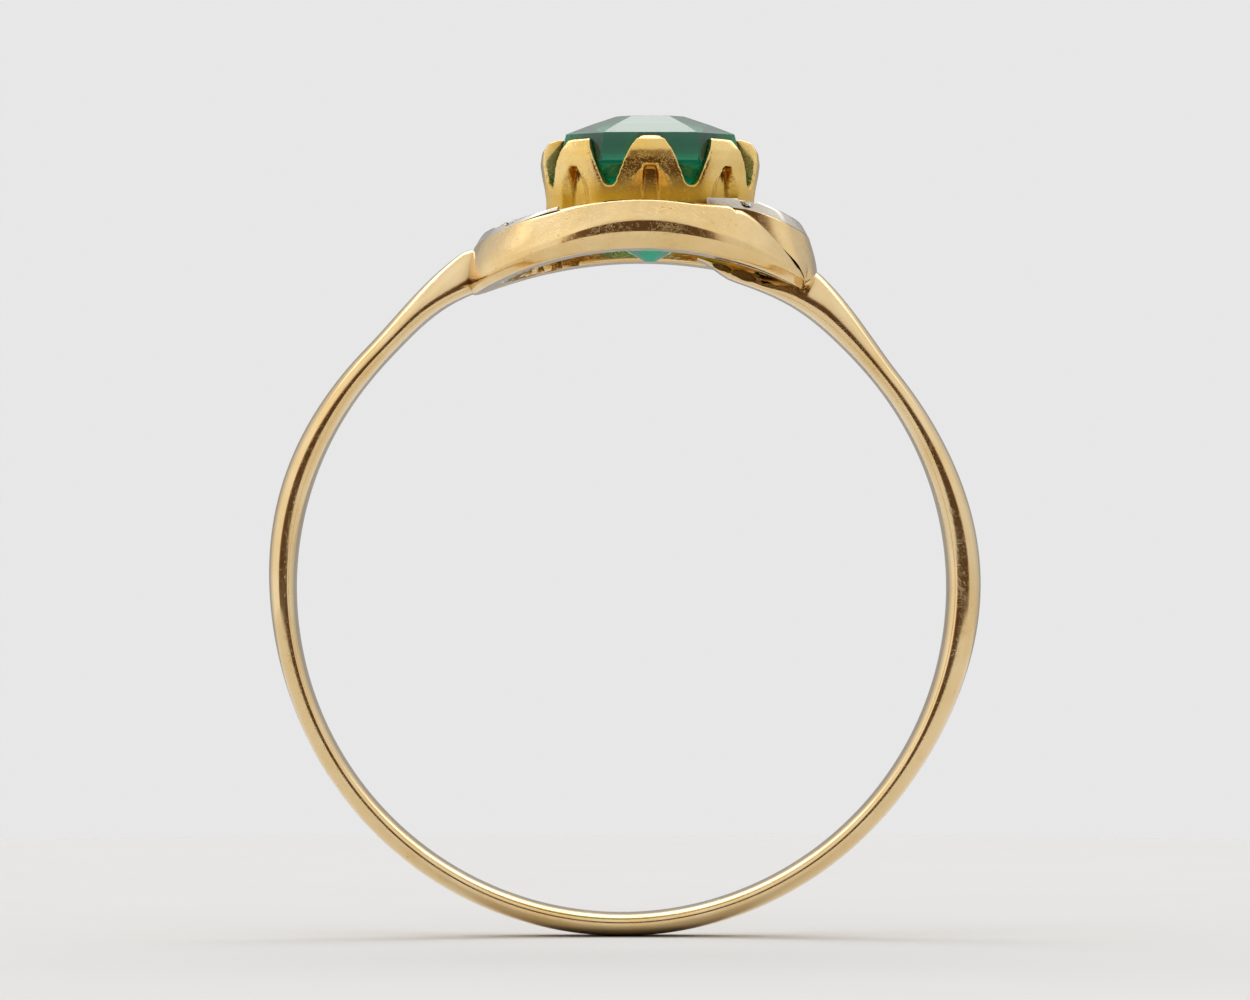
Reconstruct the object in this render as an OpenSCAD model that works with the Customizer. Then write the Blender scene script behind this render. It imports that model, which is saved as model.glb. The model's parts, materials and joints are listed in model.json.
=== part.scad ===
// Emerald engagement ring: a gold shank, a head of two gold arms that swirl round a claw-set
// emerald, and a platinum facing with rose-cut diamonds on each arm.
// Millimetres. The origin is the centre of the finger bore, +Y runs along the finger and
// +Z runs up to the stone.

/* [Shank] */
// Radius of the finger bore
bore_r = 8.5; // [8:0.1:9.5]
// Thickness of the shank where it is thinnest
shank_t = 0.62; // [0.55:0.01:0.8]
// Added thickness at the right side of the finger
right_swell = 0.28; // [0:0.02:0.34]
// Added thickness at the left side of the finger
left_swell = 0.16; // [0:0.02:0.3]
// Added thickness where the shank runs into the head
shoulder_swell = 0.75; // [0.5:0.05:0.9]
// Width of the shank at the back of the finger
shank_w = 1.9; // [1.5:0.1:2.4]
// Width of the shank at its shoulders
shoulder_w = 2.5; // [2:0.1:2.8]

/* [Head] */
// How far the head stands to the right of the bore's centre
head_x = 0.53; // [0:0.01:0.6]
// Half the head's width, round the finger
head_a = 4.6; // [4.5:0.05:4.9]
// Half the head's length, along the finger
head_b = 5.1; // [4.7:0.05:5.6]
// Height of the gold arms
arm_h = 1.28; // [1.1:0.02:1.4]
// How much taller the head stands at its right end, as a share of its height
right_rise = 0.18; // [0:0.02:0.24]
// Degrees over which the tip of one arm lies on the tail of the other
lap = 40; // [36:1:48]
// Thickness of the platinum facings
facing_t = 0.22; // [0.16:0.02:0.3]
// Degrees that each facing runs along its arm
facing_sweep = 118; // [114:1:124]

/* [Collet] */
// How far the collet stands to the right of the head's centre
collet_x = 0.22; // [0:0.02:0.24]
// Number of claws
claws = 8; // [8]
// Outside radius of the collet at the stone's girdle
collet_r = 2.87; // [2.85:0.01:2.88]
// Depth of the gaps between the claws
gap_depth = 1.3; // [1:0.05:1.4]

/* [Stones] */
// Half the width of the emerald at its girdle
gem_r = 2.38; // [2.3:0.01:2.4]
// Half the length of the emerald's straight sides
gem_side = 1.31; // [1.1:0.01:1.35]
// Height of the emerald from culet to table
gem_h = 3.78; // [3.66:0.02:3.84]
// Number of diamonds on each arm
diamonds = 7; // [7]
// Width of the largest diamonds
diamond_d = 0.74; // [0.6:0.02:0.76]
// Width of the smallest diamonds
diamond_min_d = 0.4; // [0.36:0.02:0.44]

/* [Hidden] */
SIDES = ["front", "back"];

GOLD = [0.86, 0.68, 0.36];
PALE_GOLD = [0.9, 0.76, 0.47];
PLATINUM = [0.8, 0.8, 0.79];
EMERALD = [0.02, 0.45, 0.32];
DIAMOND = [0.93, 0.95, 0.96];

clear = 0.01;              // air between pieces that are soldered or set against each other
$fn = 96;

// the underside of the head is a cylinder along the finger, a little flatter than the bore
arch_r = bore_r + 1.3;
under_z = bore_r + 0.17;   // height of the head's underside in its middle
arch_c = under_z - arch_r; // height of that cylinder's axis

arm_in = 3.12;             // inner radius of the arms, round the collet
arm_step = 4;              // degrees between two sections of an arm
tip_a = 122;               // where the tip of the front arm starts, from +X towards +Y
arm_sweep = 180 + lap;
tip_t = 0.06;              // thickness of the arm's tip over the other arm's tail
slit = 0.3;                // widest opening between a tip and the tail it lies on

collet_foot = under_z + 0.5;         // bottom of the collet
girdle_z = under_z + 2.33;           // middle of the emerald's girdle
claw_top = girdle_z + 0.72;
culet_z = girdle_z - 2.48;
table_z = culet_z + gem_h;

function smooth(t) = t <= 0 ? 0 : t >= 1 ? 1 : t * t * (3 - 2 * t);
function mix(a, b, t) = a + (b - a) * t;
function bump(x, middle, spread) = exp(-pow((x - middle) / spread, 2));

// a point of the head: radius r, angle a and height w above the curved underside;
// way is 1 in the front half and -1 in the back half, which is turned half a turn
function arch_z(x) = arch_c + sqrt(arch_r * arch_r - x * x);
function taller(x) = 1 + right_rise * smooth((x - 1.2) / 1.9);
function on_head(r, a, w, way) = [r * cos(a), r * sin(a), arch_z(r * cos(a)) + w * taller(way * r * cos(a))];
function way_of(side) = side == "front" ? 1 : -1;

// closed loft through rings of points that all have the same number of points
module loft(rings) {
    n = len(rings[0]);
    last = len(rings) - 1;
    sides = [for (i = [0:last - 1], j = [0:n - 1])
        let (k = (j + 1) % n)
        each [
            [i * n + j, i * n + k, (i + 1) * n + k],
            [i * n + j, (i + 1) * n + k, (i + 1) * n + j]
        ]];
    ends = [[for (j = [n - 1:-1:0]) j], [for (j = [0:n - 1]) last * n + j]];
    polyhedron([for (ring = rings) each ring], concat(sides, ends), convexity = 10);
}

// ---------------------------------------------------------------- shank

shank_from = 21;   // degrees from the top at which the shank's ends lie under the head
shank_step = 3;

// turn is the angle from the top of the finger, to the right and on round to the left side
function shank_thick(turn) =
    let (right = turn <= 180, b = right ? turn : 360 - turn)
    shank_t + (right ? right_swell * bump(b, 88, 24) : left_swell * bump(b, 74, 22))
    + shoulder_swell * (1 - smooth((b - (right ? 23 : 17)) / 30));

// seen along the finger: the outside of the shank, closed through the middle of the bore
function shank_outline() =
    let (turns = (360 - 2 * shank_from) / shank_step)
    concat([[0, 0]], [for (i = [0:turns])
        let (
            turn = shank_from + i * shank_step,
            r = bore_r + shank_thick(turn)
        )
        [r * sin(turn), r * cos(turn)]]);

// rounds the shank's section towards its two edges
module shank_round() {
    half = shoulder_w / 2;
    rotate([90, 0, 0]) rotate_extrude($fn = 180) polygon([
        [bore_r - 1, -half], [bore_r + 0.22, -half], [bore_r + 0.42, -half * 0.86],
        [bore_r + 0.6, -half * 0.62], [bore_r + 0.85, -half * 0.42], [bore_r + 2, -half * 0.2],
        [bore_r + 2, half * 0.2], [bore_r + 0.85, half * 0.42], [bore_r + 0.6, half * 0.62],
        [bore_r + 0.42, half * 0.86], [bore_r + 0.22, half], [bore_r - 1, half]
    ]);
}

// the shank narrows from its shoulders to the back of the finger
module shank_taper() {
    low = shank_w / 2;
    high = shoulder_w / 2 + clear;
    rotate([90, 0, 90]) linear_extrude(height = 24, center = true)
        polygon([[-low, -12], [low, -12], [high, 6], [high, 12], [-high, 12], [-high, 6]]);
}

module shank() {
    color(PALE_GOLD) difference() {
        intersection() {
            rotate([90, 0, 0]) linear_extrude(height = 6, center = true) polygon(shank_outline());
            shank_round();
            shank_taper();
        }
        // the finger bore
        rotate([90, 0, 0]) cylinder(r = bore_r, h = 12, center = true, $fn = 180);
        // room for the head: all that lies inside its outline and above its underside
        translate([head_x, 0, 0]) difference() {
            translate([0, 0, under_z - 4]) cylinder(r = head_a + clear, h = 9);
            translate([0, 0, arch_c]) rotate([90, 0, 0])
                cylinder(r = arch_r - clear, h = 12, center = true, $fn = 180);
        }
    }
}

// ---------------------------------------------------------------- arms

function outline(a) = head_a + (head_b - head_a) * pow(sin(a), 4);

// s is the angle along an arm from its tip, and q the angle along the lap
function seam_w(q) = (arm_h - tip_t) * (1 - pow(max(0, q - 5) / (lap - 5), 1.25));
function seam_r(q, a) = mix(arm_in + 0.06, outline(a) - 0.4, q / lap);
function ridge_low(s) = 0.2 + 0.17 * bump(s, 150, 45);
function ridge_high(s) = 0.34 + 0.5 * bump(s, 68, 32) + 0.43 * bump(s, 150, 30);
function bevel_in(s) = 0.5 - 0.28 * bump(s, 52, 32);

// outer radius of the arm at height w
function arm_out(s, a, w) =
    let (low = ridge_low(s), high = ridge_high(s))
    outline(a) - (
        w > high ? bevel_in(s) * (w - high) / (arm_h - high)
        : w < low ? 0.25 * (low - w) / max(low, 0.1)
        : 0);
function arm_top_r(s, a) = mix(arm_in + 0.08, arm_out(s, a, arm_h), smooth(s / 30));

// over the other arm's tail: a body inside the seam and a ledge that lies over it
function tip_section(s, a) =
    let (
        w = seam_w(s) + clear,
        r = seam_r(s, a),
        high = max(ridge_high(s), w + 0.03),
        top = arm_top_r(s, a),
        share = (top - r) / (arm_out(s, a, arm_h) - r)
    )
    [
        [arm_in, 0], [arm_in, arm_h], [top, arm_h],
        [mix(r, arm_out(s, a, high), share), min(high, arm_h - 0.01)],
        [mix(r, arm_out(s, a, w), share), w],
        [r, w], [r, 0], [mix(r, arm_in, 0.5), 0]
    ];

function main_section(s, a) =
    let (foot = arm_out(s, a, 0))
    [
        [arm_in, 0], [arm_in, arm_h], [arm_out(s, a, arm_h), arm_h],
        [arm_out(s, a, ridge_high(s)), ridge_high(s)],
        [arm_out(s, a, ridge_low(s) + 0.02), ridge_low(s) + 0.02],
        [foot, 0], [mix(foot, arm_in, 0.1), 0], [mix(foot, arm_in, 0.5), 0]
    ];

// under the other arm's tip
function tail_section(s, a) =
    let (
        q = s - 180,
        w = seam_w(q) - clear,
        r = seam_r(q, a) + clear * 2 + slit * sin(180 * q / lap),
        top = max(w, 0.12),
        high = min(ridge_high(s), top - 0.03),
        low = min(ridge_low(s), high - 0.03),
        foot = arm_out(s, a, 0)
    )
    [
        [r, 0], [r, top], [max(arm_out(s, a, top), r + 0.1), top],
        [arm_out(s, a, high), high], [arm_out(s, a, low), low],
        [foot, 0], [mix(foot, r, 0.3), 0], [mix(foot, r, 0.6), 0]
    ];

function arm_section(s, a) =
    s < lap ? tip_section(s, a)
    : s <= 180 ? main_section(s, a)
    : tail_section(s, a);

// places of the diamonds along an arm, counted from 1 at the tip
function diamond_s(i) = 18 + (i - 1) * 12;
function diamond_size(i) = mix(diamond_min_d, diamond_d, sin(180 * i / (diamonds + 1)));
// inner radius of a facing, whose tail follows the arm's outer edge to a point
function facing_in(s, a) =
    mix(arm_in, arm_top_r(s, a) - 0.12, smooth((s - facing_sweep + 50) / 50));
// a facing thins out towards its tail
function facing_h(s) = facing_t * (1 - 0.7 * smooth((s - facing_sweep + 58) / 58));
function diamond_r(i) =
    let (s = diamond_s(i), a = tip_a + s)
    (facing_in(s, a) + arm_top_r(s, a)) / 2;

// puts its children on an arm at diamond i, square to the curved head
module at_diamond(i, way) {
    a = tip_a + diamond_s(i);
    place = on_head(diamond_r(i), a, arm_h + facing_h(diamond_s(i)), way);
    translate(place) rotate([0, asin(place[0] / arch_r), 0]) children();
}

module diamond_seats(part, way) {
    for (i = [1:diamonds]) {
        d = diamond_size(i);
        sunk = facing_h(diamond_s(i)) * 0.6;
        at_diamond(i, way) {
            translate([0, 0, -3]) cylinder(d = d * 0.66, h = 6, $fn = 24);
            if (part == "facing") translate([0, 0, -sunk]) cylinder(d = d + clear, h = 1, $fn = 36);
        }
    }
}

module arm_shape(way) {
    count = arm_sweep / arm_step;
    difference() {
        loft([for (i = [0:count])
            let (s = i * arm_step, a = tip_a + s)
            [for (p = arm_section(s, a)) on_head(p[0], a, p[1], way)]]);
        diamond_seats("arm", way);
    }
}

// platinum sheet on the arm's top, a comma that is pointed at both ends
module facing_shape(way) {
    count = floor(facing_sweep / arm_step);
    rim = 0.07;
    edge = 0.14;   // how far the outer edge slopes in
    difference() {
        loft([for (i = [0:count])
            let (
                s = i * facing_sweep / count,
                a = tip_a + s,
                in = facing_in(s, a),
                out = arm_top_r(s, a),
                low = arm_h + clear,
                high = arm_h + facing_h(s)
            )
            [
                on_head(in, a, low, way), on_head(in + rim * 0.4, a, high, way),
                on_head(max(out - edge, in + rim * 0.6), a, high, way), on_head(out, a, low, way)
            ]]);
        diamond_seats("facing", way);
    }
}

// the back half of the head is made like the front half and turned half a turn
module on_side(side) {
    translate([head_x, 0, 0]) rotate([0, 0, side == "back" ? 180 : 0]) children();
}
module arm(side) {
    color(GOLD) on_side(side) arm_shape(way_of(side));
}
module facing(side) {
    color(PLATINUM) on_side(side) facing_shape(way_of(side));
}

// ---------------------------------------------------------------- stones

// rose cut: flat back, twelve girdle sides and a dome of six facets and their skirts
module diamond(side, i) {
    d = diamond_size(i);
    sunk = facing_h(diamond_s(i)) * 0.6;
    color(DIAMOND) on_side(side) at_diamond(i, way_of(side)) translate([0, 0, clear - sunk]) hull() {
        cylinder(d = d, h = sunk, $fn = 12);
        translate([0, 0, sunk + d * 0.11]) rotate([0, 0, 30]) cylinder(d = d * 0.62, h = 0.001, $fn = 6);
        translate([0, 0, sunk + d * 0.17]) cylinder(d = 0.02, h = 0.001, $fn = 6);
    }
}

// the stone is eight-sided: a square of half width r with its corners cut
function gem_outline(r) =
    let (s = r * gem_side / gem_r)
    [[s, -r], [r, -s], [r, s], [s, r], [-s, r], [-r, s], [-r, -s], [-s, -r]];
function gem_ring(r, z) = [for (p = gem_outline(r)) [p[0], p[1], z]];

module at_collet() {
    translate([head_x + collet_x, 0, 0]) children();
}

// the levels of the cut, from the culet up to the table
module emerald() {
    color(EMERALD) at_collet() loft([
        gem_ring(0.13, culet_z),
        gem_ring(0.72, culet_z + 0.34),
        gem_ring(1.66, culet_z + 1.34),
        gem_ring(gem_r, girdle_z - 0.05),
        gem_ring(gem_r, girdle_z + 0.04),
        gem_ring(gem_r - 0.19, girdle_z + 0.79),
        gem_ring(gem_r - 0.82, table_z - 0.25),
        gem_ring(gem_r - 1.5, table_z)
    ]);
}

// ---------------------------------------------------------------- collet

module collet_body() {
    rotate_extrude() polygon([
        [2.3, collet_foot], [collet_r, collet_foot], [collet_r, collet_foot + 0.4],
        [collet_r - 0.08, collet_foot + 0.5], [collet_r - 0.07, girdle_z - 0.8],
        [collet_r, girdle_z - 0.1], [collet_r - 0.02, girdle_z + 0.2],
        [collet_r - 0.14, girdle_z + 0.47], [collet_r - 0.34, girdle_z + 0.66],
        [collet_r - 0.6, claw_top], [gem_r - 0.22, claw_top - 0.04],
        [gem_r - 0.18, girdle_z + 0.5], [gem_r + 0.05, girdle_z + 0.1],
        [gem_r + 0.02, girdle_z - 0.8], [2.3, girdle_z - 1.1]
    ]);
}

// a gap between two claws, wide at the top and round at the bottom, pointing along +X
module claw_gap() {
    low = 0.15;   // half widths at the bottom and the top
    high = 0.7;
    bottom = claw_top - gap_depth + low;
    rotate([90, 0, 90]) linear_extrude(height = 2) translate([0, bottom]) {
        polygon([[-low, 0], [low, 0], [high, gap_depth], [-high, gap_depth]]);
        circle(r = low, $fn = 32);
    }
}

// a blind slot filed up from the foot under each claw
module claw_slot() {
    foot = collet_foot + 0.45;
    top = girdle_z - 0.2;
    rotate([90, 0, 90]) linear_extrude(height = 2) {
        polygon([[-0.26, foot], [0.26, foot], [0.16, top], [-0.16, top]]);
        translate([0, top]) circle(r = 0.16, $fn = 24);
    }
}

module collet() {
    turn = 360 / claws;
    color(GOLD) at_collet() difference() {
        collet_body();
        for (i = [0:claws - 1]) {
            rotate([0, 0, (i + 0.5) * turn]) translate([1.6, 0, 0]) claw_gap();
            rotate([0, 0, i * turn]) {
                translate([2.56, 0, 0]) claw_slot();
                // hollow that arches round the slot
                translate([collet_r + 1.3, 0, girdle_z - 1.0]) sphere(r = 1.52);
            }
        }
        // the seat cut into the claws for the stone's girdle and the foot of its crown
        translate([0, 0, girdle_z - 0.45]) linear_extrude(height = 0.75) polygon(gem_outline(gem_r + 0.02));
        translate([0, 0, girdle_z]) linear_extrude(height = 2) polygon(gem_outline(gem_r - 0.05));
    }
}

shank();
arm("front");  // front_arm
arm("back");  // back_arm
facing("front");  // front_facing
facing("back");  // back_facing
collet();
emerald();
for (side = SIDES, i = [1:diamonds])
    diamond(side, i);
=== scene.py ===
import bmesh
import bpy
import json
import math
from mathutils import Matrix, Vector


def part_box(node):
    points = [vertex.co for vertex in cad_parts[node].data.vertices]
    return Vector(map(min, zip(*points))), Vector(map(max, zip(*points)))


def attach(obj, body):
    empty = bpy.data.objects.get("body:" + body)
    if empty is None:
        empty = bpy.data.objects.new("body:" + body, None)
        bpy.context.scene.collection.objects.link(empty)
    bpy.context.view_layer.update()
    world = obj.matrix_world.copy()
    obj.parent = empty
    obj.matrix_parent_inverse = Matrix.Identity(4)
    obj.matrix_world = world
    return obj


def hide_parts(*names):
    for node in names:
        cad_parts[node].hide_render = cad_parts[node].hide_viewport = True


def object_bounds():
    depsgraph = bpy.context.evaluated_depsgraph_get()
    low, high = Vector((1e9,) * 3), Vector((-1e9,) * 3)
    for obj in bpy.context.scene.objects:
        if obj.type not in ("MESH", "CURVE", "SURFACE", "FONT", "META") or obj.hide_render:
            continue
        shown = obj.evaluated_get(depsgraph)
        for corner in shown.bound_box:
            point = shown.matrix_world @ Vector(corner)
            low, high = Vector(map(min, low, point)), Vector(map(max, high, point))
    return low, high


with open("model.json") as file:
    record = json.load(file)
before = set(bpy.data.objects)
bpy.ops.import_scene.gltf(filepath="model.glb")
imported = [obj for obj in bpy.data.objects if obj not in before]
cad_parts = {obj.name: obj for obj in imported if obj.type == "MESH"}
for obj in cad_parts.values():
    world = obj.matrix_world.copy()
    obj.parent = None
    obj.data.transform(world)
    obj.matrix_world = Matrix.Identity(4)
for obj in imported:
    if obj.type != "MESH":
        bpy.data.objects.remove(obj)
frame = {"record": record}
cad_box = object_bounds()

# The bench works in millimetres; every finished piece is brought to metres at the end.
MM = 0.001


# ------------------------------------------------------------------ sizes

def box_mm(node):
    low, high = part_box(node)
    return low / MM, high / MM


front_low = box_mm("front_arm")[0]
back_high = box_mm("back_arm")[1]
collet_low, collet_high = box_mm("collet")
gem_low, gem_high = box_mm("emerald")

BORE_R = frame["record"]["mounts"][0]["dims"]["r_mm"]
HEAD_X = (front_low.x + back_high.x) / 2
HEAD_A = (back_high.x - front_low.x) / 2
HEAD_B = back_high.y
COLLET_X = (collet_low.x + collet_high.x) / 2
COLLET_R = (collet_high.x - collet_low.x) / 2
COLLET_FOOT = collet_low.z
CLAW_TOP = collet_high.z
CLAWS = 8
GEM_R = (gem_high.x - gem_low.x) / 2
GEM_SIDE = 1.31              # half the length of the stone's straight sides
CULET_Z = gem_low.z
TABLE_Z = gem_high.z
GIRDLE_Z = CULET_Z + 2.48

SHANK_T = 0.62
SHOULDER_HALF = box_mm("shank")[1].y
LOWEST_HALF = 0.95           # half the shank's width at the back of the finger

UNDER_Z = BORE_R + 0.17      # underside of the head in its middle
ARCH_R = BORE_R + 1.3        # the underside is part of a cylinder along the finger
ARCH_C = UNDER_Z - ARCH_R
RIGHT_RISE = 0.18            # how much taller the head stands at its right end
ARM_IN = 3.12                # inner radius of the arms, round the collet
ARM_H = 1.28
ARM_SWEEP = 220              # degrees that an arm runs round the head
LAP = 40                     # degrees over which an arm's tip lies on the other's tail
TIP_A = 122                  # where the front arm's tip starts
TIP_T = 0.06
SLIT = 0.25                  # widest opening between a tip and the tail it lies on
FACING_T = 0.22
FACING_SWEEP = 118
DIAMONDS = 7
LARGE_DIAMOND = 0.74
SMALL_DIAMOND = 0.4
AIR = 0.01
GROOVE = 0.025


def smooth(t):
    t = max(0.0, min(1.0, t))
    return t * t * (3 - 2 * t)


def mix(a, b, t):
    return a + (b - a) * t


def bump(x, middle, spread):
    return math.exp(-((x - middle) / spread) ** 2)


# ------------------------------------------------------------------ bench tools

def put_down():
    """Leaves edit mode with nothing selected."""
    if bpy.context.object and bpy.context.object.mode != "OBJECT":
        bpy.ops.object.mode_set(mode="OBJECT")
    bpy.ops.object.select_all(action="DESELECT")


def take_up(piece):
    put_down()
    piece.select_set(True)
    bpy.context.view_layer.objects.active = piece


def named(name):
    piece = bpy.context.object
    piece.name = name
    piece.data.name = name
    return piece


def settle(piece):
    """Puts the object's place into its mesh."""
    take_up(piece)
    bpy.ops.object.transform_apply(location=True, rotation=True, scale=True)


def pick(piece, kind, test):
    """Goes into edit mode with only those vertices, edges or faces selected that pass the test."""
    take_up(piece)
    bpy.ops.object.mode_set(mode="EDIT")
    bpy.ops.mesh.select_mode(type=kind)
    bpy.ops.mesh.select_all(action="DESELECT")
    shape = bmesh.from_edit_mesh(piece.data)
    items = {"VERT": shape.verts, "EDGE": shape.edges, "FACE": shape.faces}[kind]
    for item in items:
        if test(item):
            item.select_set(True)
    shape.select_flush_mode()
    bmesh.update_edit_mesh(piece.data)


def pick_all(piece):
    take_up(piece)
    bpy.ops.object.mode_set(mode="EDIT")
    bpy.ops.mesh.select_mode(type="VERT")
    bpy.ops.mesh.select_all(action="SELECT")


def face_out(piece):
    """Closes the seams and turns every face outwards."""
    pick_all(piece)
    bpy.ops.mesh.remove_doubles(threshold=0.0005)
    bpy.ops.mesh.normals_make_consistent(inside=False)
    put_down()


def apply_modifier(piece, kind, **settings):
    take_up(piece)
    modifier = piece.modifiers.new(kind.title(), kind)
    for key, value in settings.items():
        setattr(modifier, key, value)
    bpy.ops.object.modifier_apply(modifier=modifier.name)


def cut_away(piece, cutter):
    apply_modifier(piece, "BOOLEAN", operation="DIFFERENCE", solver="EXACT", object=cutter)
    bpy.data.objects.remove(cutter)


def join(pieces, name):
    take_up(pieces[0])
    for piece in pieces[1:]:
        piece.select_set(True)
    bpy.ops.object.join()
    return named(name)


def copy_of(piece, name, place):
    twin = piece.copy()
    twin.data = piece.data.copy()
    twin.name = name
    twin.data.name = name
    bpy.context.scene.collection.objects.link(twin)
    twin.data.transform(place)
    return twin


def loft(name, rings):
    """Skin over rings of points, capped at both ends."""
    shape = bmesh.new()
    rows = [[shape.verts.new(p) for p in ring] for ring in rings]
    count = len(rings[0])
    for here, there in zip(rows, rows[1:]):
        for j in range(count):
            k = (j + 1) % count
            shape.faces.new((here[j], here[k], there[k], there[j]))
    shape.faces.new(rows[0][::-1])
    shape.faces.new(rows[-1])
    data = bpy.data.meshes.new(name)
    shape.to_mesh(data)
    shape.free()
    piece = bpy.data.objects.new(name, data)
    bpy.context.scene.collection.objects.link(piece)
    face_out(piece)
    return piece


def turned(name, profile, sides, centre_x):
    """A ring turned to a closed profile of (radius, height), drawn out edge by edge."""
    r, z = profile[0]
    put_down()
    bpy.ops.mesh.primitive_circle_add(vertices=sides, radius=r, location=(centre_x, 0, z))
    piece = named(name)
    settle(piece)
    pick_all(piece)
    for (r0, z0), (r1, z1) in zip(profile, profile[1:] + profile[:1]):
        bpy.ops.mesh.extrude_edges_move(TRANSFORM_OT_translate={"value": (0, 0, z1 - z0)})
        bpy.ops.transform.resize(value=(r1 / r0, r1 / r0, 1), center_override=(centre_x, 0, z1))
    face_out(piece)
    return piece


def corner_cut(points, softness, rounds):
    """Rounds a closed outline; softness is how much of each side a corner takes."""
    for _ in range(rounds):
        cut, soft = [], []
        for i, p in enumerate(points):
            k = (i + 1) % len(points)
            q = points[k]
            cut.append([mix(a, b, softness[i]) for a, b in zip(p, q)])
            cut.append([mix(b, a, softness[k]) for a, b in zip(p, q)])
            soft += [softness[i], softness[k]]
        points, softness = cut, soft
    return points


def hand_over(piece, material, nodes, angle):
    """Brings a finished piece to metres, gives it its finish, hangs it under the root body and hides the CAD
    parts it replaces.

    Edges sharper than angle stay sharp; at 0 every facet is flat.
    """
    piece.data.transform(Matrix.Scale(MM, 4))
    take_up(piece)
    if angle:
        bpy.ops.object.shade_smooth_by_angle(angle=math.radians(angle))
    else:
        bpy.ops.object.shade_flat()
    piece.data.materials.clear()
    piece.data.materials.append(material)
    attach(piece, "root")
    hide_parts(*nodes)


# ------------------------------------------------------------------ finishes

class Finish:
    """A node material on the piece's own coordinates."""

    def __init__(self, name):
        self.material = bpy.data.materials.new(name)
        self.material.use_nodes = True
        self.nodes = self.material.node_tree.nodes
        self.links = self.material.node_tree.links
        self.shader = self.nodes["Principled BSDF"]
        self.where = self.add("ShaderNodeTexCoord").outputs["Object"]

    def add(self, kind, **settings):
        node = self.nodes.new(kind)
        for key, value in settings.items():
            setattr(node, key, value)
        return node

    def wire(self, out, into):
        self.links.new(out, into)

    def height(self):
        split = self.add("ShaderNodeSeparateXYZ")
        self.wire(self.where, split.inputs[0])
        return split.outputs["Z"]

    def placed(self, size, turn):
        """Coordinates turned first and then measured in units of size."""
        node = self.add("ShaderNodeMapping", vector_type="TEXTURE")
        node.inputs["Scale"].default_value = size
        node.inputs["Rotation"].default_value = turn
        self.wire(self.where, node.inputs["Vector"])
        return node.outputs["Vector"]

    def grain(self, size_mm, detail=3.0, rough=0.55, vector=None):
        """Noise whose lumps are about size_mm across, or one unit of vector where that is given."""
        node = self.add("ShaderNodeTexNoise")
        node.inputs["Scale"].default_value = 1.0 if vector else 1 / (size_mm * MM)
        node.inputs["Detail"].default_value = detail
        node.inputs["Roughness"].default_value = rough
        self.wire(vector or self.where, node.inputs["Vector"])
        return node.outputs["Fac"]

    def ramp(self, value, low, high, a=0.0, b=1.0):
        """Runs from a to b while value goes from low to high."""
        node = self.add("ShaderNodeMapRange")
        node.clamp = True
        for name, number in (("From Min", low), ("From Max", high), ("To Min", a), ("To Max", b)):
            node.inputs[name].default_value = number
        self.wire(value, node.inputs["Value"])
        return node.outputs["Result"]

    def blend(self, share, a, b):
        node = self.add("ShaderNodeMix", data_type="RGBA")
        self.wire(share, node.inputs[0])
        for socket, colour in ((node.inputs[6], a), (node.inputs[7], b)):
            if isinstance(colour, tuple):
                socket.default_value = (*colour, 1)
            else:
                self.wire(colour, socket)
        return node.outputs[2]

    def most(self, a, b):
        node = self.add("ShaderNodeMath", operation="MAXIMUM")
        self.wire(a, node.inputs[0])
        self.wire(b, node.inputs[1])
        return node.outputs[0]

    def times(self, a, b):
        node = self.add("ShaderNodeMath", operation="MULTIPLY")
        self.wire(a, node.inputs[0])
        if isinstance(b, (int, float)):
            node.inputs[1].default_value = b
        else:
            self.wire(b, node.inputs[1])
        return node.outputs[0]

    def scratches(self, turn, width_mm, length_mm, amount, patch_mm):
        """Thin short lines that run one way, broken up by a coarse patchiness."""
        size = (width_mm * MM, length_mm * MM, width_mm * 3 * MM)
        lines = self.grain(None, 0.0, 0.4, self.placed(size, turn))
        thin = self.ramp(lines, amount, amount + 0.04)
        patches = self.ramp(self.grain(patch_mm, 1.0, 0.5), 0.5, 0.6)
        return self.times(thin, patches)

    def hollows(self, reach_mm):
        """Where the surface is shut in: corners, slots and seams within reach; a mask for painting shade
        there.
        """
        node = self.add("ShaderNodeAmbientOcclusion", samples=8)
        node.inputs["Distance"].default_value = reach_mm * MM
        return self.ramp(node.outputs["AO"], 0.3, 0.85, 1.0, 0.0)

    def relief(self, height, depth_mm, before=None):
        node = self.add("ShaderNodeBump")
        node.inputs["Strength"].default_value = 1.0
        node.inputs["Distance"].default_value = depth_mm * MM
        self.wire(height, node.inputs["Height"])
        if before is not None:
            self.wire(before, node.inputs["Normal"])
        return node.outputs["Normal"]


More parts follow.
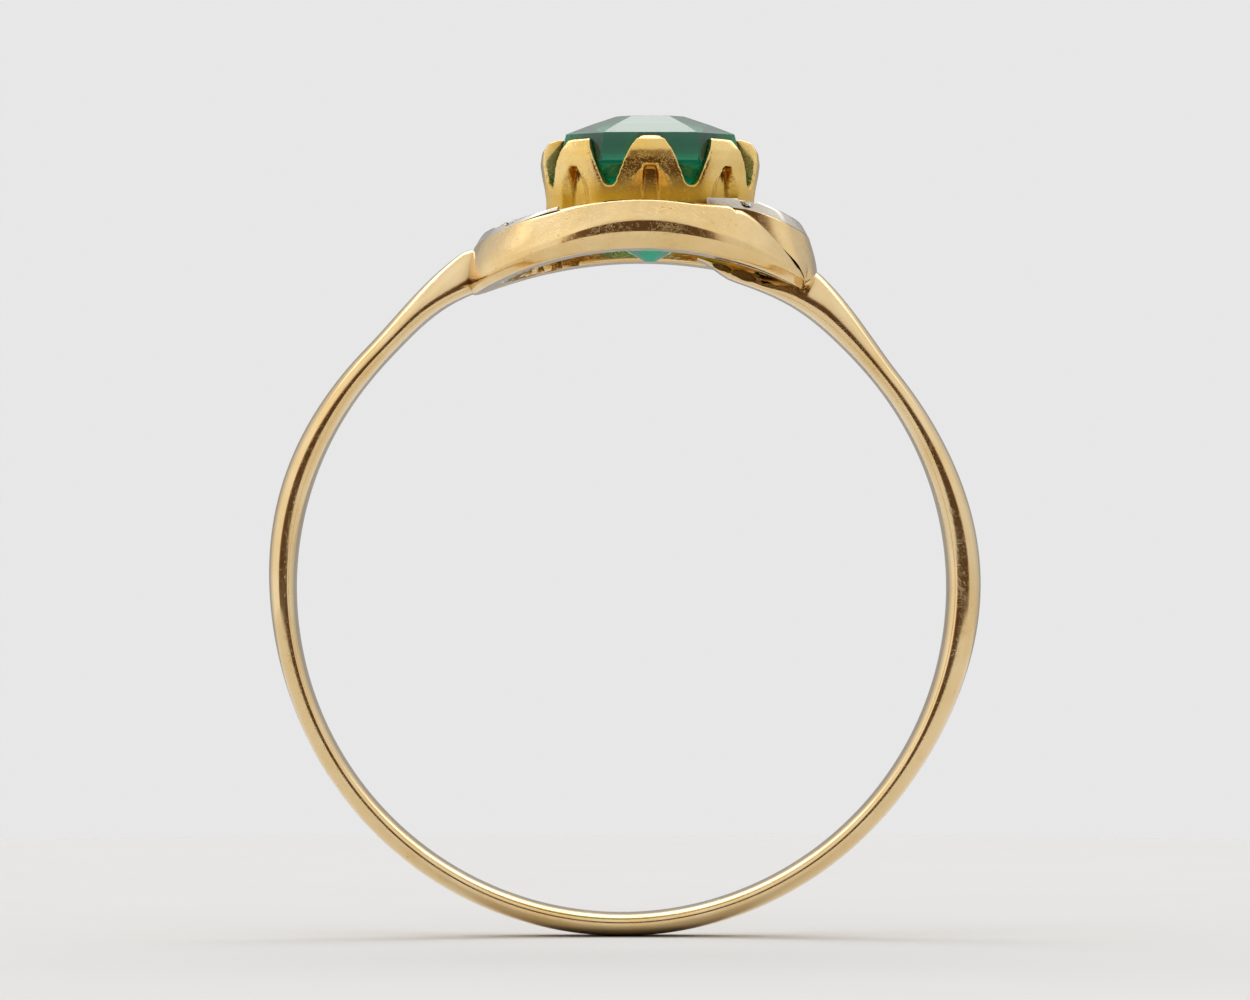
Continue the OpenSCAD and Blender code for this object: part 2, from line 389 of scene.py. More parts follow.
def worn_metal_with_painted_shade(name, bright, deep, grime_and_shade_colour, rough, reach_mm=0.35, depth=1.0):
    """Polished metal with rubbed tone, fine scratches, nicks, dirt specks and painted shade darkening its
    hollows.

    reach_mm says how far from a corner that painted shade reaches, and depth scales the dents and marks.
    """
    finish = Finish(name)
    shader = finish.shader
    shader.inputs["Metallic"].default_value = 1.0
    tone = finish.ramp(finish.grain(1.6, 4.0), 0.36, 0.66)
    colour = finish.blend(tone, bright, deep)
    specks = finish.ramp(finish.grain(0.12, 2.0, 0.7), 0.64, 0.74)
    patches = finish.ramp(finish.grain(0.8, 2.0), 0.5, 0.62)
    # Painted shade: ambient occlusion pulls the base colour towards the dark third colour in corners, slots
    # and seams; the specks are dirt.
    hollow_shade = finish.hollows(reach_mm)
    grime_and_hollow_shade = finish.most(finish.times(finish.times(specks, patches), 0.6), finish.times(hollow_shade, 0.85))
    finish.wire(finish.blend(grime_and_hollow_shade, colour, grime_and_shade_colour), shader.inputs["Base Color"])
    scratched = finish.scratches((0.0, 0.5, 0.3), 0.02, 0.4, 0.67, 0.6)
    for number, turn in enumerate(((0.0, 1.1, 0.2), (0.3, 1.9, 0.5), (0.2, 2.6, 1.2), (0.9, 0.1, 1.5))):
        length = 0.22 + 0.1 * number
        again = finish.scratches(turn, 0.018 + 0.003 * number, length, 0.68, 0.5 + length)
        scratched = finish.most(scratched, again)
    wear = finish.ramp(finish.grain(0.5, 5.0, 0.65), 0.3, 0.75, rough * 0.7, rough * 1.7)
    lifted = finish.add("ShaderNodeMath", operation="ADD")
    finish.wire(wear, lifted.inputs[0])
    finish.wire(finish.most(finish.times(scratched, 0.12), finish.times(grime_and_hollow_shade, 0.05)), lifted.inputs[1])
    finish.wire(lifted.outputs[0], shader.inputs["Roughness"])
    dents = finish.relief(finish.grain(0.7, 2.0, 0.5), 0.009 * depth)
    nicks = finish.relief(finish.grain(0.1, 2.0, 0.6), 0.0008 * depth, dents)
    marks = finish.relief(finish.ramp(scratched, 0, 1, 1, 0), 0.0018 * depth, nicks)
    finish.wire(marks, shader.inputs["Normal"])
    return finish


def claw_metal():
    """Yellow gold with a painted reflection low down: richer amber and more matt below the girdle, standing
    in for the light the gold band below throws onto it.
    """
    # The third colour is the painted shade for hollows.
    bright, deep, grime_and_shade_colour = (0.88, 0.65, 0.28), (0.8, 0.53, 0.15), (0.5, 0.25, 0.005)
    finish = worn_metal_with_painted_shade("claw_gold", bright, deep, grime_and_shade_colour, 0.14, 0.5)
    # Painted reflection: below the girdle the colour turns saturated amber and less metallic, except in the
    # deepest hollows.
    low = finish.ramp(finish.height(), (GIRDLE_Z - 0.85) * MM, (GIRDLE_Z - 0.35) * MM, 0.9, 0.0)
    low = finish.times(low, finish.ramp(finish.hollows(0.5), 0.0, 0.8, 1.0, 0.0))
    base = finish.shader.inputs["Base Color"]
    finish.wire(finish.blend(low, base.links[0].from_socket, (0.95, 0.58, 0.03)), base)
    finish.wire(finish.ramp(low, 0.0, 0.9, 1.0, 0.15), finish.shader.inputs["Metallic"])
    return finish.material


def polished_stone(name, low_colour, crown_shade_colour, ior):
    """A cut stone: clear, with fine polish lines, its colour blended from foot to crown; a darker crown
    colour is painted shade.
    """
    finish = Finish(name)
    shader = finish.shader
    shader.inputs["Transmission Weight"].default_value = 1.0
    shader.inputs["IOR"].default_value = ior
    height = finish.ramp(finish.height(), (GIRDLE_Z - 0.25) * MM, (GIRDLE_Z + 0.15) * MM)
    cloud = finish.ramp(finish.grain(0.7, 4.0, 0.6), 0.35, 0.7)
    # Painted shade: above the girdle the colour goes over to the crown colour, which on the emerald is much
    # darker.
    crown_shaded = finish.blend(height, low_colour, crown_shade_colour)
    pale = finish.blend(height, tuple(c * 1.25 for c in low_colour), tuple(c * 1.2 for c in crown_shade_colour))
    finish.wire(finish.blend(cloud, crown_shaded, pale), shader.inputs["Base Color"])
    finish.wire(finish.ramp(finish.grain(0.3, 3.0), 0.3, 0.7, 0.005, 0.03), shader.inputs["Roughness"])
    finish.wire(finish.relief(finish.grain(0.25, 2.0), 0.0006), shader.inputs["Normal"])
    return finish


def emerald_green():
    """Deep green inside, glossier on the crown, with a little haze from the stone's fine feathers."""
    # The second colour, on the crown, is painted shade: much darker than the green below the girdle.
    finish = polished_stone("emerald_green", (0.0, 0.8, 0.6), (0.02, 0.27, 0.18), 1.58)
    finish.shader.inputs["Transmission Weight"].default_value = 0.78
    gloss = finish.ramp(finish.height(), (GIRDLE_Z + 0.5) * MM, (GIRDLE_Z + 0.9) * MM, 0.1, 1.0)
    finish.wire(gloss, finish.shader.inputs["Specular IOR Level"])
    inside = finish.add("ShaderNodeVolumeAbsorption")
    inside.inputs["Color"].default_value = (0.0, 0.86, 0.7, 1)
    inside.inputs["Density"].default_value = 700
    finish.wire(inside.outputs["Volume"], finish.nodes["Material Output"].inputs["Volume"])
    return finish.material


# The third colour of each metal is the painted shade for its hollows, also used for its dirt specks.
SHANK_GOLD = worn_metal_with_painted_shade(
    "worn_shank_gold", (0.87, 0.67, 0.38), (0.8, 0.57, 0.27), (0.36, 0.24, 0.09), 0.1, depth=0.3
).material
ARM_GOLD = worn_metal_with_painted_shade("worn_arm_gold", (0.88, 0.66, 0.34), (0.8, 0.55, 0.23), (0.4, 0.22, 0.06), 0.1).material
COLLET_GOLD = claw_metal()
PLATINUM = worn_metal_with_painted_shade(
    "tarnished_platinum", (0.76, 0.72, 0.64), (0.6, 0.55, 0.46), (0.22, 0.18, 0.12), 0.18, 0.15
).material
GREEN_STONE = emerald_green()
CLEAR_STONE = polished_stone("rose_cut_clear", (0.78, 0.79, 0.79), (0.8, 0.81, 0.81), 2.0).material


# ------------------------------------------------------------------ shank

def under_head(turn):
    """Radius at which the underside of the head lies above the finger in that direction."""
    way = Vector((math.sin(math.radians(turn)), math.cos(math.radians(turn))))
    centre = Vector((HEAD_X, ARCH_C))
    along = way.dot(centre)
    return along + math.sqrt(along * along - centre.length_squared + ARCH_R * ARCH_R)


def shank_walls(turn):
    """Inner and outer radius of the shank; its ends rise and thin out under the head.

    turn runs from the top of the finger to the right and on round; b is the same from either side.
    """
    right = turn < 180
    b = min(turn, 360 - turn)
    swell = 0.28 * bump(b, 88, 24) if right else 0.16 * bump(b, 74, 22)
    shoulder = (0.75 if right else 0.71) * (1 - smooth((b - (23 if right else 17)) / 30))
    outer = BORE_R + SHANK_T + swell + shoulder
    gap = under_head(turn) - BORE_R
    inside = 1 - smooth((b - (25 if right else 18)) / 7)
    outer = mix(outer, BORE_R + gap + 0.08, inside)
    worn = (0.09 if right else 0.14) * bump(b, 32, 9)
    inner = BORE_R + 0.004 + gap * smooth((20 - b) / 8) + worn
    return inner, outer


def shank_section(turn, sides=48):
    """Half-round wire: domed outside, nearly flat inside, squarer at the shoulders."""
    b = min(turn, 360 - turn)
    inner, outer = shank_walls(turn)
    half = mix(SHOULDER_HALF, LOWEST_HALF, smooth((b - 40) / 100))
    half *= mix(0.6, 0.99, smooth((b - 22) / 14))
    square = 1 - smooth((b - 24) / 30)
    widest = mix(inner, outer, mix(0.42, 0.45, square))
    ring = []
    for k in range(sides):
        c = 2 * math.pi * k / sides
        outward = math.cos(c) > 0
        power = mix(0.92, 0.5, square) if outward else mix(0.8, 0.4, square)
        y = half * math.copysign(abs(math.sin(c)) ** mix(0.8, 0.5, square), math.sin(c))
        u = math.copysign(abs(math.cos(c)) ** power, math.cos(c))
        y *= 1 - 0.3 * square * max(0, u)
        r = widest + u * (outer - widest if outward else widest - inner)
        angle = math.radians(turn)
        ring.append((r * math.sin(angle), y, r * math.cos(angle)))
    return ring


def make_shank():
    """The hoop, with two blind openings filed into its right end under the head."""
    right_end, left_end = 13, 339
    steps = 216
    turns = [mix(right_end, left_end, i / steps) for i in range(steps + 1)]
    shank = loft("shank_hoop", [shank_section(turn) for turn in turns])
    openings = []
    for turn, length in ((17.5, 0.26), (21.5, 0.34)):
        inner, outer = shank_walls(turn)
        put_down()
        bpy.ops.mesh.primitive_cylinder_add(vertices=32, radius=1, depth=4, rotation=(math.pi / 2, 0, 0))
        opening = named("gallery_opening")
        settle(opening)
        opening.data.transform(Matrix.Translation((0, -2.25, 0)))
        opening.data.transform(Matrix.Diagonal((length, 1, (outer - inner) * 0.26, 1)))
        opening.data.transform(Matrix.Rotation(math.radians(turn), 4, "Y"))
        way = Vector((math.sin(math.radians(turn)), 0, math.cos(math.radians(turn))))
        opening.data.transform(Matrix.Translation(way * mix(inner, outer, 0.45)))
        openings.append(opening)
    cut_away(shank, join(openings, "gallery_openings"))
    hand_over(shank, SHANK_GOLD, ["shank"], 60)


# ------------------------------------------------------------------ arms

def arch_z(x):
    return ARCH_C + math.sqrt(ARCH_R * ARCH_R - x * x)


def on_head(r, a, w, way):
    """A point of one half: radius r and angle a round the head, height w above its underside.

    way is 1 for the front half and -1 for the back half, which is turned half a turn afterwards;
    the head stands taller at its right end.
    """
    x = r * math.cos(math.radians(a))
    taller = 1 + RIGHT_RISE * smooth((way * x - 1.2) / 1.9)
    return Vector((HEAD_X + x, r * math.sin(math.radians(a)), arch_z(x) + w * taller))


def outline(a):
    """Outer radius of the head at angle a."""
    return HEAD_A + (HEAD_B - HEAD_A) * math.sin(math.radians(a)) ** 4


def seam_w(q):
    """Height of the seam between a tip and the tail under it, q degrees along the lap."""
    return (ARM_H - TIP_T) * (1 - (max(0, q - 5) / (LAP - 5)) ** 1.25)


def seam_r(q, a):
    """Radius at which that seam turns down."""
    return mix(ARM_IN + 0.06, outline(a) - 0.4, q / LAP)


def ridge_low(s):
    return 0.2 + 0.17 * bump(s, 150, 45)


def ridge_high(s):
    return 0.34 + 0.5 * bump(s, 68, 32) + 0.43 * bump(s, 150, 30)


def bevel_in(s):
    return 0.5 - 0.28 * bump(s, 52, 32)


def arm_out(s, a, w):
    """Outer radius of an arm at height w: a bevel above, a flat face, and a turned-in foot."""
    low, high = ridge_low(s), ridge_high(s)
    if w > high:
        return outline(a) - bevel_in(s) * (w - high) / (ARM_H - high)
    if w < low:
        return outline(a) - 0.22 * (low - w) / max(low, 0.1)
    return outline(a)


def arm_top_r(s, a):
    return mix(ARM_IN + 0.08, arm_out(s, a, ARM_H), smooth(s / 30))


def arm_section(s, a):
    """Outline of the arm at s degrees from its tip, with how soft each corner is."""
    roll = bump(s, 66, 26)       # the ends of the head are rolled over, the sides are faceted
    face = mix(0.14, 0.3, roll)
    edge = mix(0.03, 0.1, smooth((s - FACING_SWEEP + 20) / 20))
    soft = [0.05, 0.05, edge, face, face, 0.16, 0.25, 0.25]
    if s < LAP:
        w = seam_w(s) + GROOVE
        r = seam_r(s, a)
        high = max(ridge_high(s), w + 0.03)
        top = arm_top_r(s, a)
        share = (top - r) / (arm_out(s, a, ARM_H) - r)
        points = [
            [ARM_IN, 0], [ARM_IN, ARM_H], [top, ARM_H],
            [mix(r, arm_out(s, a, high), share), min(high, ARM_H - 0.01)],
            [mix(r, arm_out(s, a, w), share), w],
            [r, w], [r, 0], [mix(r, ARM_IN, 0.5), 0],
        ]
        sharp = mix(0.5, 1, s / LAP)
        soft = [0.05, 0.05, edge, face * sharp, 0.12, 0.06, 0.05, 0.25]
    elif s <= 180:
        foot = arm_out(s, a, 0)
        points = [
            [ARM_IN, 0], [ARM_IN, ARM_H], [arm_out(s, a, ARM_H), ARM_H],
            [arm_out(s, a, ridge_high(s)), ridge_high(s)],
            [arm_out(s, a, ridge_low(s)), ridge_low(s)],
            [foot, 0], [mix(foot, ARM_IN, 0.1), 0], [mix(foot, ARM_IN, 0.5), 0],
        ]
    else:
        q = s - 180
        w = seam_w(q) - GROOVE
        r = seam_r(q, a) + AIR * 2 + SLIT * math.sin(math.pi * q / LAP)
        top = max(w, 0.12)
        high = min(ridge_high(s), top - 0.03)
        low = min(ridge_low(s), high - 0.03)
        foot = arm_out(s, a, 0)
        points = [
            [r, 0], [r, top], [max(arm_out(s, a, top), r + 0.1), top],
            [arm_out(s, a, high), high], [arm_out(s, a, low), low],
            [foot, 0], [mix(foot, r, 0.3), 0], [mix(foot, r, 0.6), 0],
        ]
    return corner_cut(points, soft, 3)


HEAD_CENTRE = Matrix.Translation((HEAD_X, 0, 0))
HALF_TURN = HEAD_CENTRE @ Matrix.Rotation(math.pi, 4, "Z") @ HEAD_CENTRE.inverted()


def make_arm(way):
    """Half of the head, one section a degree, pierced behind each diamond."""
    rings = []
    for s in range(ARM_SWEEP + 1):
        a = TIP_A + s
        rings.append([on_head(r, a, w, way) for r, w in arm_section(s, a)])
    arm = loft("arm_body", rings)
    azures = []
    for i in range(1, DIAMONDS + 1):
        put_down()
        size = diamond_width(i)
        bpy.ops.mesh.primitive_cone_add(vertices=32, radius1=size * 0.62, radius2=size * 0.3, depth=4)
        azure = named("azure")
        azure.data.transform(diamond_place(i, way) @ Matrix.Translation((0, 0, -1.4)))
        azures.append(azure)
    cut_away(arm, join(azures, "azures"))
    return arm


# ------------------------------------------------------------------ facings and diamonds

def facing_in(s, a):
    """Inner edge of a facing, whose tail follows the arm's outer edge to a point."""
    return mix(ARM_IN, arm_top_r(s, a) - 0.12, smooth((s - FACING_SWEEP + 50) / 50))


def facing_h(s):
    """Thickness of a facing, which thins out towards its tail."""
    return FACING_T * (1 - 0.7 * smooth((s - FACING_SWEEP + 58) / 58))


def diamond_angle(i):
    return 18 + (i - 1) * 12


def diamond_width(i):
    return mix(SMALL_DIAMOND, LARGE_DIAMOND, math.sin(math.pi * i / (DIAMONDS + 1)))


def diamond_place(i, way):
    """Stands on a facing's top at diamond i, square to the curved head."""
    s = diamond_angle(i)
    a = TIP_A + s
    r = (facing_in(s, a) + arm_top_r(s, a)) / 2
    point = on_head(r, a, ARM_H + facing_h(s) * 0.5, way)
    lean = math.asin((point.x - HEAD_X) / ARCH_R)
    return Matrix.Translation(point) @ Matrix.Rotation(lean, 4, "Y")


def make_facing(way):
    """Platinum sheet with a rubbed-over rim, opened for the stones and edged with grains."""
    rim = 0.06
    steps = 110
    rings = []
    for step in range(steps + 1):
        s = step * FACING_SWEEP / steps
        a = TIP_A + s
        inner, out = facing_in(s, a), arm_top_r(s, a) - 0.03
        low, high = ARM_H + AIR / 2, ARM_H + facing_h(s)
        wide = min(1, (out - inner) / 0.6)
        floor = mix(high, low, 0.55 * wide)
        side = rim * wide
        points = [
            [inner, low], [inner, high], [inner + side * 1.3, high], [inner + side * 2, floor],
            [out - side * 4.8, floor], [out - side * 4, high], [out - side * 2.6, high],
            [out + 0.02, ARM_H - 0.012],
        ]
        softness = [0.1, 0.2, 0.25, 0.25, 0.25, 0.25, 0.4, 0.03]
        rings.append([on_head(r, a, w, way) for r, w in corner_cut(points, softness, 2)])
    facing = loft("facing_sheet", rings)
    seats = []
    for i in range(1, DIAMONDS + 1):
        put_down()
        size = diamond_width(i)
        bpy.ops.mesh.primitive_cylinder_add(vertices=40, radius=size * 0.52, depth=1)
        seat = named("seat")
        floor_z = 0.5 - facing_h(diamond_angle(i)) * 0.35
        seat.data.transform(diamond_place(i, way) @ Matrix.Translation((0, 0, floor_z)))
        seats.append(seat)
    cut_away(facing, join(seats, "seats"))
    put_down()
    bpy.ops.mesh.primitive_ico_sphere_add(subdivisions=2, radius=0.055)
    holder = named("holder")
    beads = [facing]
    for i in range(1, DIAMONDS + 1):
        size = diamond_width(i)
        a = math.radians(TIP_A + diamond_angle(i))
        for k in range(4):
            turn = a + math.pi / 4 + k * math.pi / 2
            spot = Vector((math.cos(turn), math.sin(turn), 0.0)) * size * 0.52
            beads.append(copy_of(holder, "grain", diamond_place(i, way) @ Matrix.Translation(spot)))
    bpy.data.objects.remove(holder)
    return join(beads, "facing_sheet")


def make_diamond():
    """Rose cut, one unit wide: flat back, low dome of six facets above a skirt of triangles."""
    put_down()
    bpy.ops.mesh.primitive_circle_add(vertices=12, radius=0.5, location=(0, 0, -0.16), fill_type="NGON")
    base = named("rose_cut")
    put_down()
    bpy.ops.mesh.primitive_circle_add(vertices=12, radius=0.5, location=(0, 0, -0.04), fill_type="NGON")
    edge = named("rose_edge")
    put_down()
    bpy.ops.mesh.primitive_circle_add(
        vertices=6, radius=0.29, location=(0, 0, 0.1), rotation=(0, 0, math.pi / 12), fill_type="NGON"
    )
    crown = named("rose_crown")
    put_down()
    bpy.ops.mesh.primitive_circle_add(vertices=3, radius=0.004, location=(0, 0, 0.17), fill_type="NGON")
    point = named("rose_point")
    for part in (base, edge, crown, point):
        settle(part)
    rose = join([base, edge, crown, point], "rose_cut")
    pick_all(rose)
    bpy.ops.mesh.convex_hull()
    bpy.ops.mesh.normals_make_consistent(inside=False)
    put_down()
    return rose


def make_head_arms():
    """Both halves of the head, each with its facing and its diamonds."""
    rose = make_diamond()
    for side, way, turn in (("front", 1, Matrix.Identity(4)), ("back", -1, HALF_TURN)):
        arm = make_arm(way)
        facing = make_facing(way)
        body = copy_of(arm, side + "_arm_body", turn)
        sheet = copy_of(facing, side + "_facing_sheet", turn)
        hand_over(body, ARM_GOLD, [side + "_arm"], 50)
        hand_over(sheet, PLATINUM, [side + "_facing"], 50)
        for i in range(1, DIAMONDS + 1):
            place = turn @ diamond_place(i, way) @ Matrix.Rotation(0.7 * i, 4, "Z")
            node = side + "_diamond_" + str(i)
            stone = copy_of(rose, node + "_cut", place @ Matrix.Scale(diamond_width(i), 4))
            hand_over(stone, CLEAR_STONE, [node], 0)
        bpy.data.objects.remove(arm)
        bpy.data.objects.remove(facing)
    bpy.data.objects.remove(rose)


# ------------------------------------------------------------------ emerald

def make_emerald(name="emerald_cut"):
    """Step cut: a block with its upright corners cut off, then drawn in tier by tier."""
    put_down()
    bpy.ops.mesh.primitive_cube_add(size=2 * GEM_R, location=(COLLET_X, 0, GIRDLE_Z))
    gem = named(name)
    settle(gem)
    pick_all(gem)
    bpy.ops.transform.resize(value=(1, 1, 0.05 / GEM_R), center_override=(COLLET_X, 0, GIRDLE_Z))
    pick(gem, "EDGE", lambda e: abs(e.verts[0].co.z - e.verts[1].co.z) > 0.05)
    bpy.ops.mesh.bevel(offset=GEM_R - GEM_SIDE, segments=1, affect="EDGES", offset_type="OFFSET")
    crown = [(2.19, GIRDLE_Z + 0.79), (1.56, TABLE_Z - 0.25), (0.88, TABLE_Z)]
    pavilion = [(1.95, GIRDLE_Z - 0.66), (1.42, GIRDLE_Z - 1.34), (0.72, CULET_Z + 0.34), (0.13, CULET_Z)]
    for up, tiers in ((1, crown), (-1, pavilion)):
        r0, z0 = GEM_R, GIRDLE_Z + up * 0.05
        pick(gem, "FACE", lambda f: f.normal.z * up > 0.99)
        for r1, z1 in tiers:
            bpy.ops.mesh.extrude_region_move(TRANSFORM_OT_translate={"value": (0, 0, z1 - z0)})
            share = r1 / r0
            bpy.ops.transform.resize(value=(share, share, 1), center_override=(COLLET_X, 0, z1))
            r0, z0 = r1, z1
    face_out(gem)
    return gem


# ------------------------------------------------------------------ collet

def around_collet(piece, first):
    """Copies of a cutter, one for each claw, from first degrees round the collet, joined into one."""
    twins = []
    for i in range(CLAWS):
        turn = Matrix.Rotation(math.radians(first + i * 360 / CLAWS), 4, "Z")
        place = Matrix.Translation((COLLET_X, 0, 0)) @ turn
        twins.append(copy_of(piece, "cutter", place))
    bpy.data.objects.remove(piece)
    return join(twins, "cutters")


def gap_cutter():
    """A file with a narrow rounded edge, wide at the top, laid along the radius."""
    low, high, depth, over = 0.14, 0.7, 1.3, 0.3
    reach = 2.9
    bottom = CLAW_TOP - depth

    def is_low_side(edge):
        one, other = (v.co for v in edge.verts)
        return max(one.z, other.z) < bottom + 0.1 and one.y * other.y > 0

    put_down()
    bpy.ops.mesh.primitive_cube_add(size=1, location=(reach, 0, bottom + 0.5))
    cutter = named("gap_file")
    settle(cutter)
    pick_all(cutter)
    bpy.ops.transform.resize(value=(2.4, 2 * low, depth + over), center_override=(reach, 0, bottom))
    pick(cutter, "VERT", lambda v: v.co.z > bottom + 0.5)
    flare = 1 + (high / low - 1) * (depth + over) / depth
    bpy.ops.transform.resize(value=(1, flare, 1), center_override=(reach, 0, CLAW_TOP))
    pick(cutter, "EDGE", is_low_side)
    bpy.ops.mesh.bevel(offset=0.09, segments=5, affect="EDGES")
    put_down()
    return cutter


def slot_cutter():
    """A tapered saw cut that rises from the foot under a claw."""
    foot, top = COLLET_FOOT + 0.35, GIRDLE_Z - 0.1
    middle = (foot + top) / 2
    reach = 3.56
    put_down()
    bpy.ops.mesh.primitive_cube_add(size=1, location=(reach, 0, middle))
    cutter = named("slot_saw")
    settle(cutter)
    pick_all(cutter)
    bpy.ops.transform.resize(value=(2, 0.54, top - foot), center_override=(reach, 0, middle))
    pick(cutter, "VERT", lambda v: v.co.z > middle)
    bpy.ops.transform.resize(value=(1, 0.6, 1), center_override=(reach, 0, top))
    put_down()
    return cutter


def dish_cutter():
    """A round burr that hollows the wall into an arch round each slot."""
    put_down()
    bpy.ops.mesh.primitive_uv_sphere_add(segments=48, ring_count=24, radius=1.6)
    cutter = named("dish_burr")
    pick_all(cutter)
    bpy.ops.transform.resize(value=(1, 0.78, 1), center_override=(0, 0, 0))
    bpy.ops.transform.translate(value=(COLLET_R + 1.3, 0, GIRDLE_Z - 1.05))
    put_down()
    return cutter


def make_collet():
    """A turned ring, with the stone's seat, the gaps, the slots and the arches cut into it."""
    profile = [
        (2.25, COLLET_FOOT), (COLLET_R, COLLET_FOOT), (COLLET_R, COLLET_FOOT + 0.4),
        (COLLET_R - 0.09, COLLET_FOOT + 0.5), (COLLET_R - 0.1, GIRDLE_Z - 0.9),
        (COLLET_R - 0.03, GIRDLE_Z - 0.35), (COLLET_R, GIRDLE_Z + 0.05),
        (COLLET_R - 0.04, GIRDLE_Z + 0.35), (COLLET_R - 0.2, GIRDLE_Z + 0.6),
        (COLLET_R - 0.5, CLAW_TOP), (GEM_R - 0.28, CLAW_TOP - 0.02),
        (GEM_R - 0.28, GIRDLE_Z + 0.5), (GEM_R - 0.1, GIRDLE_Z), (GEM_R - 0.02, GIRDLE_Z - 0.6),
        (2.25, GIRDLE_Z - 1.1),
    ]
    collet = turned("collet_coronet", profile, 128, COLLET_X)
    seat = make_emerald("seat_cutter")
    pick_all(seat)
    bpy.ops.transform.resize(value=(1.006, 1.006, 1.004), center_override=(COLLET_X, 0, GIRDLE_Z))
    put_down()
    cut_away(collet, seat)
    cut_away(collet, around_collet(gap_cutter(), 180 / CLAWS))
    cut_away(collet, around_collet(slot_cutter(), 0))
    cut_away(collet, around_collet(dish_cutter(), 0))
    apply_modifier(collet, "REMESH", mode="VOXEL", voxel_size=0.042)
    apply_modifier(collet, "SMOOTH", factor=0.5, iterations=3)
    return collet


# ------------------------------------------------------------------ the ring

make_shank()
make_head_arms()
emerald = make_emerald()
collet = make_collet()
apply_modifier(emerald, "BEVEL", width=0.012, segments=1, limit_method="ANGLE", angle_limit=0.2)
hand_over(collet, COLLET_GOLD, ["collet"], 180)
hand_over(emerald, GREEN_STONE, ["emerald"], 0)


# ------------------------------------------------------------------ studio

def make_floor():
    """Matt paper under the ring."""
    put_down()
    lowest = cad_box[0].z
    bpy.ops.mesh.primitive_circle_add(vertices=96, radius=0.08, fill_type="NGON", location=(0, 0, lowest))
    floor = named("floor")
    settle(floor)
    paper = Finish("pale_paper")
    tooth = paper.ramp(paper.grain(6, 3.0), 0.3, 0.7)
    colour = paper.blend(tooth, (0.74, 0.74, 0.738), (0.75, 0.75, 0.748))
    paper.wire(colour, paper.shader.inputs["Base Color"])
    paper.shader.inputs["Roughness"].default_value = 1.0
    paper.shader.inputs["Specular IOR Level"].default_value = 0.0
    floor.data.materials.append(paper.material)


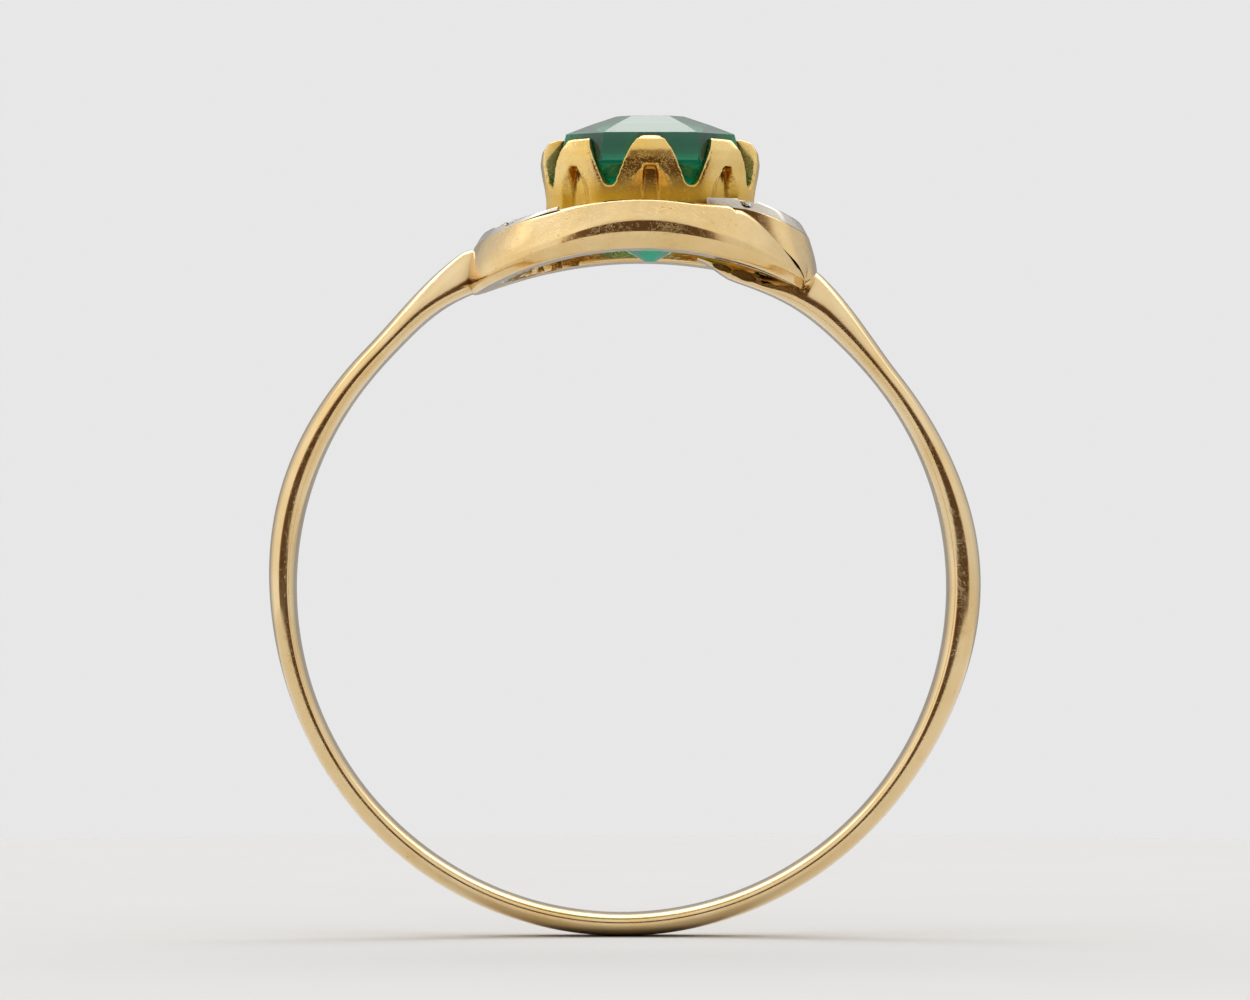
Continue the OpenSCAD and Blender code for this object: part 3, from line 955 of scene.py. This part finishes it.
def make_sky():
    """Light tent: bright above and at the sides, with the dark of the room in front and behind."""
    world = bpy.data.worlds.new("light_tent")
    bpy.context.scene.world = world
    world.use_nodes = True
    nodes, links = world.node_tree.nodes, world.node_tree.links
    nodes.clear()

    def math_node(kind, a, b):
        node = nodes.new("ShaderNodeMath")
        node.operation = kind
        for socket, value in zip(node.inputs, (a, b)):
            if isinstance(value, (int, float)):
                socket.default_value = value
            else:
                links.new(value, socket)
        return node.outputs[0]

    def ramp(value, low, high, a, b):
        node = nodes.new("ShaderNodeMapRange")
        node.interpolation_type = "SMOOTHSTEP"
        for name, number in (("From Min", low), ("From Max", high), ("To Min", a), ("To Max", b)):
            node.inputs[name].default_value = number
        links.new(value, node.inputs["Value"])
        return node.outputs["Result"]

    way = nodes.new("ShaderNodeTexCoord").outputs["Generated"]
    split = nodes.new("ShaderNodeSeparateXYZ")
    links.new(way, split.inputs[0])
    x, y, z = split.outputs
    overhead = ramp(z, 0.0, 0.9, 0.6, 0.9)
    left = ramp(math_node("MULTIPLY", x, -1.0), 0.5, 0.9, 0.0, 0.36)
    right = ramp(x, 0.6, 0.9, 0.0, 0.15)
    softbox = math_node("MULTIPLY", ramp(y, 0.44, 0.56, 0.0, 1.0), ramp(z, 0.4, 0.66, 0.0, 2.1))
    low_band = ramp(math_node("ABSOLUTE", math_node("ADD", z, 0.02), 0.0), 0.24, 0.5, 1.0, 0.0)
    ahead = ramp(math_node("MULTIPLY", y, -1.0), 0.34, 0.66, 0.0, 1.0)
    in_front = math_node("MULTIPLY", low_band, ahead)
    dark_front = ramp(in_front, 0.0, 1.0, 1.0, 0.17)
    behind = ramp(y, 0.8, 0.97, 0.0, 1.0)
    dark_back = ramp(math_node("MULTIPLY", low_band, behind), 0.0, 1.0, 1.0, 0.6)
    bright = math_node("ADD", math_node("ADD", overhead, softbox), math_node("ADD", left, right))
    tent = math_node("MULTIPLY", bright, math_node("MULTIPLY", dark_front, dark_back))
    light = nodes.new("ShaderNodeBackground")
    warm = nodes.new("ShaderNodeMix")
    warm.data_type = "RGBA"
    links.new(in_front, warm.inputs[0])
    warm.inputs[6].default_value = (1.0, 0.995, 0.985, 1)
    warm.inputs[7].default_value = (1.0, 0.6, 0.34, 1)
    links.new(warm.outputs[2], light.inputs["Color"])
    links.new(tent, light.inputs["Strength"])
    plain = nodes.new("ShaderNodeBackground")
    plain.inputs["Color"].default_value = (0.8, 0.8, 0.8, 1)
    plain.inputs["Strength"].default_value = 1.0
    chosen = nodes.new("ShaderNodeMixShader")
    links.new(nodes.new("ShaderNodeLightPath").outputs["Is Camera Ray"], chosen.inputs[0])
    links.new(light.outputs[0], chosen.inputs[1])
    links.new(plain.outputs[0], chosen.inputs[2])
    output = nodes.new("ShaderNodeOutputWorld")
    links.new(chosen.outputs[0], output.inputs[0])


def make_softbox():
    """A faint lamp above and to the left, which gives the ring its soft shadow."""
    data = bpy.data.lights.new("top_softbox", "AREA")
    data.shape = "SQUARE"
    data.size = 0.5
    data.energy = 0.05
    lamp = bpy.data.objects.new("top_softbox", data)
    bpy.context.scene.collection.objects.link(lamp)
    lamp.location = (-0.25, -0.2, 0.8)
    aim = Vector((0, 0, 0.006)) - lamp.location
    lamp.rotation_mode = "QUATERNION"
    lamp.rotation_quaternion = aim.to_track_quat("-Z", "Y")


def make_camera():
    """Looks along the finger, from level with the middle of the bore."""
    data = bpy.data.cameras.new("camera")
    data.sensor_width = 36
    data.lens = 220
    data.clip_start, data.clip_end = 0.01, 20
    camera = bpy.data.objects.new("camera", data)
    bpy.context.scene.collection.objects.link(camera)
    place = Vector((0.092, -200, 0)) * MM
    aim = Vector((0.092, 0, 2.28)) * MM - place
    camera.location = place
    camera.rotation_mode = "QUATERNION"
    camera.rotation_quaternion = aim.to_track_quat("-Z", "Y")
    bpy.context.scene.camera = camera


make_floor()
make_sky()
make_softbox()
make_camera()
bpy.context.scene.view_settings.view_transform = "Standard"
